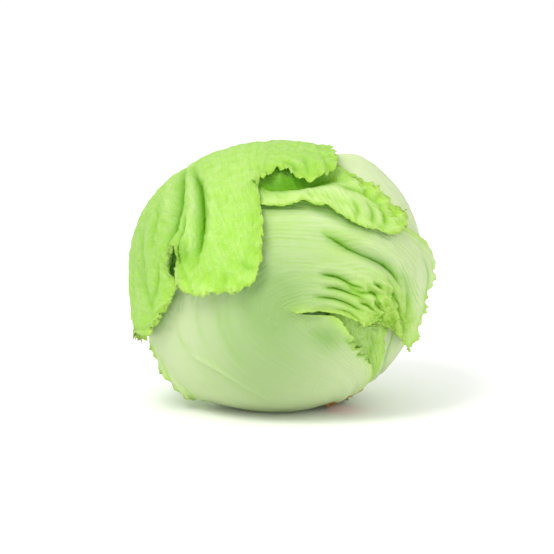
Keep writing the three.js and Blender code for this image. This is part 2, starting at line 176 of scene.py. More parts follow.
def spline(points, shares):
    """Places along the curve through points, whose first axis runs along the curve."""
    points = np.asarray(points, float)
    last = len(points) - 1
    at = np.clip(np.asarray(shares) * last, 0, last)
    i = np.minimum(at.astype(int), last - 1)
    w = (at - i).reshape((-1,) + (1,) * (points.ndim - 1))
    padded = np.concatenate([2 * points[:1] - points[1:2], points, 2 * points[-1:] - points[-2:-1]])
    p0, p1, p2, p3 = (padded[i + k] for k in range(4))
    m1, m2 = 0.5 * (p2 - p0), 0.5 * (p3 - p1)
    start, end = (2 * w**3 - 3 * w**2 + 1) * p1, (3 * w**2 - 2 * w**3) * p2
    return start + (w**3 - 2 * w**2 + w) * m1 + end + (w**3 - w**2) * m2


def even_shares(points, count):
    """Shares along the curve through points that lie evenly along its length."""
    fine = np.linspace(0, 1, 600)
    run = np.linalg.norm(np.diff(spline(points, fine), axis=0), axis=-1)
    length = np.concatenate([[0], np.cumsum(run)])
    return np.interp(np.linspace(0, length[-1], count), length, fine)


def stroke(dirs, path):
    """For each direction: how far in mm it lies from the path, its share along it, and the way from it."""
    best = np.full(dirs.shape[:-1], np.inf)
    along = np.zeros_like(best)
    away = np.zeros_like(dirs)
    for i in range(len(path) - 1):
        step = path[i + 1] - path[i]
        t = np.clip(((dirs - path[i]) @ step) / (step @ step), 0, 1)
        offset = dirs - (path[i] + t[..., None] * step)
        distance = np.linalg.norm(offset, axis=-1) * HEART_HALF[0]
        nearer = distance < best
        best = np.where(nearer, distance, best)
        along = np.where(nearer, (i + t) / (len(path) - 1), along)
        away = np.where(nearer[..., None], unit(offset), away)
    return best, along, away


def fading(along):
    """1 along a path's middle, running out at its ends."""
    end = 0.02
    return np.sqrt(np.maximum(np.sin(np.pi * np.clip(along, end, 1 - end)), 0))


# Folds that press into the head and every layer over them: a path, its layer, a half width and a depth.
FOLDS = [
    ([(-55, 62), (-57, 46), (-58, 34), (-63, 16)], "cap", 4.5, 3.2),
    ([(-49, 62), (-45, 48), (-43, 32), (-46, 8)], "cap", 4.5, 3.0),
    ([(-14, 51), (0, 49), (16, 51), (30, 54), (44, 50)], "shoulder", 5.5, 3.2),
    ([(-14, 36), (4, 36.5), (16, 38), (28, 34), (40, 27), (54, 22)], "front", 5.5, 2.6),
    ([(22, 21), (35, 16), (50, 9.5), (60, 3), (66, -6)], "front", 3.6, 3.0),
    ([(12, -21), (26, -22), (38, -28)], "front", 4.5, 2.6),
]
FOLD_PATHS = [[views_at(LAYER[layer])[0](*p) for p in path] for path, layer, _, _ in FOLDS]


def heart_radius(dirs):
    radius = smooth_radius(dirs)
    for path, (_, _, wide, deep) in zip(FOLD_PATHS, FOLDS):
        distance, along, _ = stroke(dirs, path)
        radius = radius - deep * fading(along) * np.exp(-((distance / wide) ** 2))
    return radius


def lowest(height, layer):
    """How far below the heart's middle a layer is pressed flat."""
    return HEART_HALF[2] - REST_SAG + min(layer, LAYER["front"]) + np.minimum(height - layer, 0)


def place(dirs, height, layer):
    p = dirs * (heart_radius(dirs) + height)[..., None]
    p[..., 2] = np.maximum(p[..., 2], -lowest(height, layer))
    return p


def waves(rng, x, y, count, fx, fy):
    """A sum of sines with random directions, about 1 in size. fx and fy are ranges of waves per unit."""
    total = np.zeros(np.broadcast(x, y).shape)
    for _ in range(count):
        a, b = rng.uniform(*fx), rng.uniform(*fy)
        total = total + np.sin(2 * np.pi * (a * x + b * y) + rng.uniform(0, 2 * np.pi))
    return total / math.sqrt(count)


def crumple(points, size, seed, octaves=3):
    """Ridged noise from 0 in the valleys to about 1 on the crests, with cells of about size mm."""
    lacunarity, gain, apart = 2.1, 0.55, 7.3
    flat = points.reshape(-1, 3) / size + seed * apart
    out = np.zeros(len(flat))
    for octave in range(octaves):
        step = flat * lacunarity**octave
        out += np.array([1 - 2 * abs(noise.noise(Vector(p))) for p in step]) * gain**octave
    return (out / sum(gain**octave for octave in range(octaves))).reshape(points.shape[:-1])


# A margin's ruffle in mm: how far in it reaches and how long its waves are. Then its fine waves and teeth.
RUFFLE_REACH = 13.0
RUFFLE_WAVE = 17.0
FINE_REACH = 5.2
FINE_WAVE = 0.31 * RUFFLE_WAVE
TOOTH_LONG = 3.1
TOOTH_REACH = 2.2
LOBE_REACH = 7.0


def inwards(d, reach, power):
    """1 at a margin, running out to 0 at reach mm in from it."""
    return np.clip(1 - d / reach, 0, 1) ** power


def two_waves(a, b, share):
    return np.sin(a) + share * np.sin(b)


def margin(rng, s, d, tall, omega, teeth):
    """A margin's ruffle, where s runs along it and d in from it: its height, and its shifts along and out."""
    turn = 2 * np.pi * s
    bend = 0.9 * np.sin(turn / (RUFFLE_WAVE * 2.7) + rng.uniform(0, 6))
    bend = bend + 0.5 * np.sin(turn / (RUFFLE_WAVE * 1.6) + rng.uniform(0, 6))
    phase = turn / RUFFLE_WAVE + bend
    fine = turn / FINE_WAVE + 2.1 * bend + rng.uniform(0, 6)
    fall, tight = inwards(d, RUFFLE_REACH, 2), inwards(d, FINE_REACH, 2)
    height = tall * (fall * (0.5 + 0.5 * np.sin(phase)) + 0.35 * tight * np.sin(fine))
    along = omega * tall * (fall * np.cos(phase) + 0.3 * tight * np.cos(fine))
    patchy = 0.55 + 0.45 * np.sin(turn / (RUFFLE_WAVE * 1.9) + 1.3 * bend)
    step = turn / TOOTH_LONG
    saw = two_waves(step + 4.7 * bend, step / 0.57 + 7.1 * bend, 0.7)
    lobe = two_waves(step / 2.7 + 2.3 * bend, step / 1.7 - 3.9 * bend, 0.6)
    outwards = 0.36 * patchy * inwards(d, TOOTH_REACH, 1.5) * saw + 0.55 * inwards(d, LOBE_REACH, 1.5) * lobe
    return height, along, teeth * outwards


def leaf_directions(spec):
    """The grid of directions over a leaf, from stem end to tip and from left to right."""
    u = np.linspace(0, 1, spec["across"] + 1)
    lines = unit(np.stack([spline(row, u) for row in spec["rows"](*views_at(spec["layer"]))]))
    t = even_shares(lines[:, spec["across"] // 2], spec["lengthways"] + 1)
    dirs = unit(spline(lines, t))
    least = math.radians(LEAF_START)
    side = unit(dirs - (dirs @ STEM_AXIS)[..., None] * STEM_AXIS)
    cleared = STEM_AXIS * math.cos(least) + side * math.sin(least)
    too_near = (dirs @ STEM_AXIS) > math.cos(least)
    return np.where(too_near[..., None], cleared, dirs)


def pressed(spec, dirs):
    """The strokes drawn on a leaf: the height that they add, how deep they cut and how far they lean over."""
    height = np.zeros(dirs.shape[:-1])
    shift = np.zeros(dirs.shape)
    groove = np.zeros_like(height)
    read, _ = views_at(spec["layer"])
    for path, wide, tall, *lean in spec["strokes"]:
        fine = spline([read(*p) for p in path], np.linspace(0, 1, 6 * len(path)))
        distance, along, away = stroke(dirs, fine)
        sharpness = 2.0 if tall > 0 else 1.4
        bump = tall * fading(along) * np.exp(-((distance / wide) ** sharpness))
        height = height + bump
        # The creases' depth, weighted towards narrow ones, is what later paints shade into them.
        groove = groove + np.maximum(-bump, 0) * min(1.0, 2.0 / wide)
        if lean:
            reach = np.clip(distance / wide, 0, 2)
            pull = lean[0] * fading(along) * reach * np.exp(-(reach**2))
            shift = shift - away * pull[..., None]
    return height, shift, groove


def measured(dirs, layer):
    """A leaf's grid with the ways along and across it, and how far each place is from the leaf's ends."""
    flat = place(dirs, np.full(dirs.shape[:-1], layer), layer)
    step_u = np.linalg.norm(np.diff(flat, axis=1), axis=-1)
    step_t = np.linalg.norm(np.diff(flat, axis=0), axis=-1)
    left = np.pad(np.cumsum(step_u, axis=1), ((0, 0), (1, 0)))
    stem = np.pad(np.cumsum(step_t, axis=0), ((1, 0), (0, 0)))
    right, tip = left[:, -1:] - left, stem[-1:, :] - stem
    T, U = np.meshgrid(*(np.linspace(0, 1, n) for n in dirs.shape[:2]), indexing="ij")
    return {
        "dirs": dirs,
        "flat": flat,
        "T": T,
        "U": U,
        "across": unit(np.gradient(flat, axis=1)),
        "along": unit(np.gradient(flat, axis=0)),
        "left": left,
        "right": right,
        "stem": stem,
        "tip": tip,
        "edge": np.minimum(np.minimum(left, right), tip),
    }


RIB_WIDE = 0.07
PEEL_WIDE = 4.5
PLEAT_TALL = 0.16
PUFF_CELL = 8.5


def relief(spec, g, rng):
    """The height and shift that ribs, strokes, pleats, crumples and puffs add, and the strokes' depth."""
    dirs, T, U, seed = g["dirs"], g["T"], g["U"], spec["seed"]
    height = near(dirs, spec["lifts"]) + near(dirs, spec["peels"]) * np.exp(-g["edge"] / PEEL_WIDE)
    rib = np.exp(-(((U - spec["midrib"]) / RIB_WIDE) ** 2)) * (1 - smooth(T, 0.1, 0.75))
    drawn, shift, groove = pressed(spec, dirs)
    pleats = PLEAT_TALL * spec["pleats"] * (0.35 + 0.65 * T) * waves(rng, U, T, 9, (9, 34), (-1.5, 1.5))
    height = height + spec["rib"] * rib + drawn + pleats
    for to, by, reach, cell in spec["crumples"]:
        mask = near(dirs, [(to, 1.0, reach)])
        height = height + by * mask * (crumple(g["flat"], cell, seed) - 0.35)
        sway = crumple(g["flat"], cell * 1.4, seed + 5, 2) - 0.5
        shift = shift + (0.8 * by * mask * sway)[..., None] * (g["across"] - g["along"])
    puffs = spec["puffs"] * smooth(T, 0.15, 0.5)
    return height + puffs * (crumple(g["flat"], PUFF_CELL, seed + 3) - 0.5), shift, groove


def margins(spec, g, rng):
    """The height and shift that the ruffles and teeth add along a leaf's two sides and its tip."""
    dirs = g["dirs"]
    flare = 1 + near(dirs, spec["flares"])
    ragged = spec["teeth"] * (1 + near(dirs, spec["ragged"]))
    grown = smooth(g["T"], *spec["margin_grows"])
    left, right, tip = spec["frill"]
    height, shift = 0, 0
    for s, d, tall, share, run, out in (
        ("stem", "left", left, grown, g["along"], -g["across"]),
        ("stem", "right", right, grown, g["along"], g["across"]),
        ("left", "tip", tip, 1.0, g["across"], g["along"]),
    ):
        rise, along, outwards = margin(rng, g[s], g[d], tall * share * flare, spec["omega"], ragged * share)
        height = height + rise
        shift = shift + run * along[..., None] + out * outwards[..., None]
    return height, shift


def leaf_surface(spec):
    """The leaf's outer face as a grid of places, with what its material needs to know at each."""
    rng = np.random.default_rng(SEED + spec["seed"])
    layer = spec["layer"]
    g = measured(leaf_directions(spec), layer)
    inner_height, inner_shift, groove = relief(spec, g, rng)
    edge_height, edge_shift = margins(spec, g, rng)
    height = inner_height + edge_height
    p = place(g["dirs"], layer + height, layer) + inner_shift + edge_shift
    from_middle = g["left"] - 0.5 * g["left"][:, -1:]
    apart = np.full_like(g["T"], 40.0 * spec["seed"])
    grain = np.stack([from_middle, g["stem"], apart], axis=-1)
    return g | {"p": p, "groove": groove, "grain": grain, "height": height}


def blur(field, times):
    """A grid's values, spread to their neighbours as often as said."""
    for _ in range(times):
        padded = np.pad(field, 1, mode="edge")
        field = (padded[:-2, 1:-1] + padded[2:, 1:-1] + padded[1:-1, :-2] + padded[1:-1, 2:] + 4 * field) / 8
    return field


def mesh_object(name, vertices, faces, attributes, middle):
    """A smooth mesh in metres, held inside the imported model's box."""
    hair = 0.02 * MM
    low, high = (np.array(corner) for corner in cad_bounds)
    placed = np.clip((vertices + middle) * MM, low + hair, high - hair)
    mesh = bpy.data.meshes.new(name)
    mesh.from_pydata(placed.tolist(), [], faces)
    for key, values in attributes.items():
        kind, field = ("FLOAT_VECTOR", "vector") if values.ndim == 2 else ("FLOAT", "value")
        attribute = mesh.attributes.new(key, kind, "POINT")
        attribute.data.foreach_set(field, values.astype(np.float32).ravel())
    mesh.polygons.foreach_set("use_smooth", [True] * len(mesh.polygons))
    mesh.update()
    made = bpy.data.objects.new(name, mesh)
    bpy.context.scene.collection.objects.link(made)
    return made


def sheet_faces(rows, columns):
    """The faces of a closed sheet: its outer grid, the inner one under it, and the rim between them."""
    at = np.arange((rows + 1) * (columns + 1)).reshape(rows + 1, columns + 1)
    below = at + at.size
    outer = np.stack([at[:-1, :-1], at[:-1, 1:], at[1:, 1:], at[1:, :-1]], axis=-1).reshape(-1, 4)
    under = np.stack([below[:-1, :-1], below[1:, :-1], below[1:, 1:], below[:-1, 1:]], axis=-1).reshape(-1, 4)
    rim = np.concatenate([at[0, :-1], at[:-1, -1], at[-1, :0:-1], at[:0:-1, 0]])
    following = np.roll(rim, -1)
    sides = np.stack([rim, rim + at.size, following + at.size, following], axis=-1)
    return np.concatenate([outer, under, sides]).tolist()


GREEN_AT_STEM = 0.12
# Painted shade in the creases, per mm of their depth.
SHADE_PER_MM = 0.42
RIM_WIDE = 3.0


def leaf_fields(spec, g):
    """What the leaf's material reads at each place, all from 0 to 1. Some of it is painted light: shade in
    creases, in hollows and in greyish patches, and a highlight on ridges.
    """
    height, dirs = g["height"], g["dirs"]
    # A place lower than its surroundings gets painted shade, and a place higher than them gets a painted
    # highlight.
    raised = height - blur(height, 60) + 0.8 * (height - blur(height, 8))
    greening = GREEN_AT_STEM + (1 - GREEN_AT_STEM) * smooth(g["T"], 0.05, 0.4)
    fields = {
        "green": spec["green"](g) * greening,
        # Painted shade: creases darkened by their depth, and patches darkened where shade falls, such as
        # under overlapping edges.
        "deep": SHADE_PER_MM * g["groove"] + near(dirs, spec["shaded"]),
        "painted_hollow_shade": -spec["relief_shade_and_highlight"] * raised,
        "painted_crest_highlight": spec["relief_shade_and_highlight"] * raised,
        "painted_grey_shade": near(dirs, spec["painted_grey_shade"]),
        "edge": np.exp(-g["edge"] / RIM_WIDE) + near(dirs, spec["yellow"]),
    }
    return {key: np.clip(values, 0, 1) for key, values in fields.items()}


def leaf_object(spec, middle):
    """A leaf as a closed sheet whose inner face lies straight below the outer one."""
    g = leaf_surface(spec)
    p = g["p"]
    thick = BLADE * (0.5 + 0.5 * smooth(g["edge"], 0.0, 5.0))
    inner = p - g["dirs"] * thick[..., None]
    both_faces = {key: np.concatenate([values.ravel()] * 2) for key, values in leaf_fields(spec, g).items()}
    both_faces["grain"] = np.concatenate([g["grain"].reshape(-1, 3)] * 2)
    vertices = np.concatenate([p.reshape(-1, 3), inner.reshape(-1, 3)])
    faces = sheet_faces(p.shape[0] - 1, p.shape[1] - 1)
    return mesh_object(spec["name"].replace("leaf", "blade"), vertices, faces, both_faces, middle)


def outline(side, *points):
    return [side(*p) for p in points]


# The rows of each leaf from its stem end to its tip. Each runs from the leaf's left side to its right, seen
# from outside with the stem below.
def rows_of_right(front, behind):
    return [
        turns(-20, -50, -80, -110, -140),
        [front(50, -46), front(60, -43), front(70, -38), behind(60, -40), behind(42, -45)],
        [front(36, -28), front(60, -19), front(79, -12), behind(66, -12), behind(38, -15)],
        [front(28, 0), front(58, 12), front(81, 18), behind(66, 22), behind(34, 20)],
        [front(20, 30), front(44, 42), front(63, 50), behind(48, 52), behind(22, 48)],
        [front(2, 52), front(16, 62), front(28, 69), behind(22, 66), behind(5, 58)],
    ]


def rows_of_inner(front, behind):
    return [
        turns(-8, -24, -40),
        outline(front, (38, -54), (47, -52), (55, -50)),
        outline(front, (30, -38), (43, -36), (57, -35)),
        outline(front, (27, -22), (43, -20), (59, -23)),
        outline(front, (30, -8), (45, -5), (61, -12)),
    ]


def rows_of_left(front, behind):
    return [
        turns(148, 128, 108, 88),
        [behind(-8, -34), behind(-24, -46), behind(-28, -60), front(-22, -69)],
        [behind(-40, -5), behind(-60, -20), behind(-68, -40), front(-46, -46)],
        [behind(-55, 32), behind(-74, 15), front(-76, -5), front(-46, -8)],
        [behind(-42, 55), behind(-62, 46), front(-62, 30), front(-42, 20)],
        [behind(-30, 62), front(-44, 60), front(-40, 52), front(-30, 42)],
    ]


def rows_of_back(front, behind):
    return [
        turns(-120, -136, -152, -168),
        outline(behind, (58, -42), (48, -42), (34, -42), (20, -42)),
        outline(behind, (76, -12), (56, -8), (30, -6), (4, -10)),
        outline(behind, (76, 16), (56, 26), (28, 30), (0, 22)),
        outline(behind, (60, 41), (46, 49), (27, 51), (9, 43)),
    ]


def rows_of_front(front, behind):
    return [
        turns(106, 76, 44, 12, -20),
        [behind(-8, -63), front(8, -70), front(26, -64), front(40, -58), front(50, -53)],
        outline(front, (-48, -68), (-24, -66), (6, -57), (30, -50), (44, -43)),
        outline(front, (-72, -46), (-46, -48), (-15, -44), (16, -39), (38, -34)),
        outline(front, (-82, -22), (-54, -24), (-27, -27), (3, -29), (30, -23.5)),
        outline(front, (-60, 12), (-44, 6), (-24, -3), (-7, -14), (9, -21)),
        outline(front, (-38, 38), (-22, 26), (-6, 12), (10, -5), (21, -20)),
        outline(front, (8, 43), (17, 28), (26, 11), (32, -6), (36, -23)),
        outline(front, (46, 33), (53, 21), (54, 8), (50, -8), (44, -27)),
        outline(front, (84, 9), (81, -10), (76, -26), (69, -40), (64, -34), (57, -28), (48, -27)),
    ]


def rows_of_shoulder(front, behind):
    return [
        turns(200, 192, 184, 176, away=SHOULDER_START),
        outline(behind, (16, -38), (10, -38), (4, -38), (-4, -38)),
        outline(behind, (13, 0), (2, 2), (-12, 0), (-30, -5)),
        outline(behind, (17, 40), (2, 45), (-16, 45), (-38, 38)),
        outline(front, (24, 66), (4, 71), (-16, 69), (-42, 58)),
        outline(front, (38, 56), (47, 42), (28, 52), (8, 56), (-15, 54), (-40, 50)),
        outline(
            front,
            *((35, 57), (47, 50), (57, 42), (66, 34), (69, 27), (61, 22), (51, 25), (43, 28), (34, 33)),
            *((26, 38), (18, 39), (12, 41), (8, 39), (0, 38), (-11, 38), (-24, 40), (-38, 44)),
        ),
    ]


def rows_of_cap(front, behind):
    return [
        turns(196, 184, 172, 160),
        outline(behind, (24, -44), (12, -45), (0, -46), (-12, -48)),
        outline(behind, (33, -4), (-3, -8), (-32, -15), (-55, -40)),
        outline(behind, (15, 35), (-4, 38), (-28, 32), (-62, 15), (-78, -22)),
        outline(front, (30, 68), (5, 73), (-20, 70), (-48, 58), (-72, 38), (-83, 8), (-84, -25)),
        outline(
            front,
            *((31, 65), (14, 62), (-5, 62), (-17, 46), (-26, 32), (-40, 30), (-56, 33), (-67, 25)),
            *((-76, -2), (-83, -29)),
        ),
        outline(
            front,
            *((31, 62), (29, 58), (23, 55), (16, 53), (9, 54), (3, 56), (-2, 58), (-7, 54), (-15, 53)),
            *((-12, 46), (-11, 38), (-9.5, 28), (-10, 18), (-10.5, 7), (-14, -2), (-20, -8), (-29, -10)),
            *((-38, -10), (-46, -11.5), (-52, -6), (-55, 3), (-54, 10), (-56.5, 14), (-59, 11)),
            *((-58, 3), (-56.5, -3), (-56, -10), (-62, -18), (-67, -26), (-72, -33), (-77, -35), (-82, -34)),
        ),
    ]


# Ridges and creases of the leaves: a path, a half width, a height and, for some, how far the sides are drawn
# in over the path. All in mm.
FRONT_STROKES = [
    ([(-9, 31), (10, 32), (24, 29), (36, 23), (48, 17), (58, 12), (67, 5), (72, -4)], 5.4, 3.2),
    (
        [(24, 22), (30, 19.5), (36, 16), (42, 13), (48, 10.5), (55, 7.5), (60, 4), (64, -1), (66, -6)],
        *(1.6, -3.8, 2.8),
    ),
    ([(14, 13), (28, 12), (40, 7), (50, 2), (58, -4)], 4.0, 1.4),
    ([(16, 3), (28, 3), (40, 0), (50, -4)], 2.4, 1.9),
    ([(22, 0.5), (30, -1), (37, -4.5), (45, -7.5)], 1.6, -3.4, 1.6),
    ([(18, -4), (30, -4), (40, -8), (47, -12)], 2.0, 1.6),
    ([(24, -7), (30, -7.5), (37, -10), (44, -13)], 1.4, -3.0, 1.4),
    ([(16, -9), (28, -10), (38, -13), (44, -18)], 1.8, 1.5),
    ([(18, -12), (28, -13), (37, -16), (43, -20)], 1.3, -2.8, 1.4),
    ([(12, -15), (24, -15.5), (34, -18), (42, -23)], 1.6, 1.4),
    ([(8, -21.5), (14, -19), (21, -17.5)], 1.6, 1.2),
    ([(30, -18.5), (37, -20.5), (42, -25)], 1.1, -2.2, 1.0),
    ([(66, 2), (70, -10), (69, -22), (66, -30)], 2.2, -1.6),
    ([(76, 4), (76, -10), (73, -24), (69, -33)], 3.0, 1.4),
    ([(78, 10), (81, 2), (80, -10), (77, -20)], 1.6, -1.0),
    ([(58, -2), (61, -9), (60, -17)], 1.6, -1.8, 1.0),
    ([(48, -12), (53, -19), (55, -26)], 1.4, -1.8, 1.0),
    ([(54, -6), (57, -14), (62, -22), (63, -30)], 1.6, 1.8),
    ([(38, -3), (44, -6.5), (47, -12), (53, -14), (57, -20)], 1.2, 2.4),
    ([(46, -2), (50, -7.5), (56, -9), (60, -14)], 1.2, 2.2),
    ([(40, -10), (46, -13), (50, -19), (56, -22)], 1.2, 2.4),
    ([(52, -4), (58, -6), (63, -12), (66, -20)], 1.3, 2.0),
    ([(44, -17), (50, -21), (54, -26)], 1.1, 2.2),
    ([(36, -6), (42, -9.5), (49, -10.5), (54, -17)], 1.1, -2.6, 0.8),
    ([(48, -5), (53, -6.5), (58, -12)], 1.0, -2.4, 0.8),
    ([(42, -15), (47, -17), (52, -24)], 1.0, -2.6, 0.8),
    ([(60, -8), (64, -16), (65, -24)], 1.1, -2.6, 0.8),
    ([(-52, -42), (-36, -51), (-20, -61), (-2, -71)], 1.3, 1.2),
    ([(-36, -10), (-34, -24), (-28, -40), (-18, -52)], 2.4, -0.5),
    ([(-29, -13), (-29, -26), (-20, -45)], 2.0, -0.4),
    ([(-46, -14), (-45, -28), (-38, -42)], 2.6, -0.35),
    ([(-58, -20), (-56, -34), (-48, -46)], 2.6, -0.3),
    ([(14, -31), (24, -35), (33, -40)], 5.0, -1.2),
    ([(34, -35), (44, -40)], 1.0, -1.4),
    ([(37, -39), (48, -44)], 1.0, -1.5),
    ([(41, -43.5), (51, -48)], 1.0, -1.4),
]

CAP_STROKES = [
    ([(-55, 61), (-56.3, 52), (-57, 42), (-58.3, 32), (-60.5, 24), (-63, 15)], 1.9, -3.4, 1.4),
    ([(-49.5, 61), (-46.5, 52), (-44.8, 42), (-44, 30), (-44.6, 18), (-46, 8)], 1.8, -3.6, 1.8),
    ([(-52.5, 60), (-50, 52), (-48.3, 42), (-47.5, 30), (-48.5, 18), (-50, 9)], 2.6, 2.2),
    ([(-61, 60), (-62, 46), (-63, 34), (-67, 22)], 3.4, 1.4),
    ([(-39, 58), (-37, 44), (-37, 28), (-40, 12)], 3.4, 1.3),
    ([(-53, 33), (-53, 26), (-55, 19)], 1.2, -1.8),
    ([(-50, 36), (-50.5, 26), (-52.5, 16)], 1.3, 1.2),
    ([(-68, 40), (-69, 28), (-71, 16)], 1.5, -1.0),
    ([(-76, 24), (-76, 10), (-74, -4)], 1.8, -0.9),
    ([(-38, 24), (-35, 14), (-34, 4)], 2.6, 0.8),
    ([(-22, 8), (-18, 4), (-13, 3)], 1.6, -1.2),
    ([(-30, 2), (-30, -4), (-32, -9)], 1.4, -1.0),
    ([(-72, 30), (-74, 16), (-72, 2)], 2.2, 0.8),
    ([(-78, 4), (-74, -10), (-70, -22)], 2.4, -1.1),
    ([(-66, 6), (-68, -6), (-71, -16)], 1.6, -1.4),
    ([(2, 63), (7, 60), (9, 56)], 1.6, -1.4),
    ([(18, 66), (22, 60), (25, 57)], 2.4, 1.0),
    ([(12, 66), (14, 60), (15, 55)], 1.4, -0.9),
]

SHOULDER_STROKES = [
    ([(-16, 51.5), (-4, 50), (8, 51.5), (18, 53), (27, 55), (36, 54)], 3.6, -3.6),
    ([(-12, 39.5), (0, 39.5), (6, 40.5), (12, 42.5), (18, 40.5), (26, 39.5), (34, 34.5)], 3.0, 2.4),
    ([(-10, 45), (4, 45), (18, 47), (30, 46), (42, 40), (54, 33)], 4.0, 1.8),
    ([(36, 54), (45, 49), (54, 42), (62, 35)], 2.0, 1.4),
    ([(32, 50), (43, 45.5), (53, 38.5)], 1.6, -1.8, 0.8),
    ([(46, 40), (50, 34), (50, 28)], 1.5, -1.6),
    ([(54, 37), (57, 31), (57, 26)], 1.5, -1.6),
    ([(38, 42), (42, 36), (41, 31)], 1.5, -1.1),
]

RIGHT_STROKES = [
    ([(58, -56), (62, -45), (66, -32), (70, -18)], 2.4, 1.2),
    ([(52, -58), (54, -48), (56, -38), (58, -26)], 2.0, 1.4),
    ([(55, -57), (58, -47), (61, -36), (64, -24)], 1.4, -1.2),
]

INNER_STROKES = [
    ([(40, -52), (43, -42), (43, -30)], 1.6, 0.8),
    ([(46, -52), (49, -42), (50, -30)], 1.4, -0.8),
    ([(51, -50), (54, -40), (55, -30)], 1.4, 0.8),
]


def green_of_front(g):
    d = g["dirs"]
    out = 0.15 + 0.04 * smooth(g["T"], 0.45, 0.75)
    out = out + near(d, [(front(54, -18), 0.42, 14), (front(64, -27), 0.4, 12), (front(38, -14), 0.14, 12)])
    out = out + near(d, [(front(-4, 32), 0.14, 22), (front(71, -39), 0.5, 8), (front(34, 18), 0.2, 10)])
    out = out - near(d, [(front(78, -6), 0.12, 14), (front(-50, -25), 0.08, 30)])
    return out + 0.3 * np.exp(-g["edge"] / 2.5)


def green_of_cap(g):
    return 0.8 + 0.2 * np.exp(-g["edge"] / 5.0) - 0.08 * near(g["dirs"], [(front(-25, 60), 1, 30)])


def green_of_shoulder(g):
    d = g["dirs"]
    out = 0.44 + near(d, [(front(50, 48), 0.5, 13), (front(62, 38), 0.5, 12), (front(4, 53), 0.6, 14)])
    out = out - near(d, [(front(8, 44), 0.06, 14), (front(48, 34), 0.14, 9)])
    return out + 0.35 * np.exp(-g["edge"] / 2.5)


def green_of_right(g):
    return 0.03 + 0.08 * smooth(g["T"], 0.4, 1.0)


def even(value, rim=0.25):
    return lambda g: value + rim * np.exp(-g["edge"] / 4.0)


# What a leaf has unless its own entry says otherwise. The midrib is a share of the width, and the frill is a
# height in mm at the left side, the right side and the tip. The lists hold a direction, a height or strength
# and a reach in mm, and crumples a cell size too. Lifts raise the leaf and peels only its edge. Flares and
# ragged make its ruffles and teeth larger. Shaded and the greyish patches are painted shade, and yellow gives
# the rim's yellow-green. The strength of the painted shade in hollows and painted highlight on ridges is set
# for each leaf as well.
PLAIN_LEAF = {
    "midrib": 0.5,
    "rib": 0.6,
    "frill": (0, 0, 0),
    "teeth": 0.0,
    "omega": 0.5,
    "pleats": 1.0,
    "puffs": 0.6,
    "relief_shade_and_highlight": 0.6,
    "lifts": [],
    "flares": [],
    "margin_grows": (0.25, 0.6),
    "ragged": [],
    "peels": [],
    "strokes": [],
    "crumples": [],
    "shaded": [],
    "painted_grey_shade": [],
    "yellow": [],
}

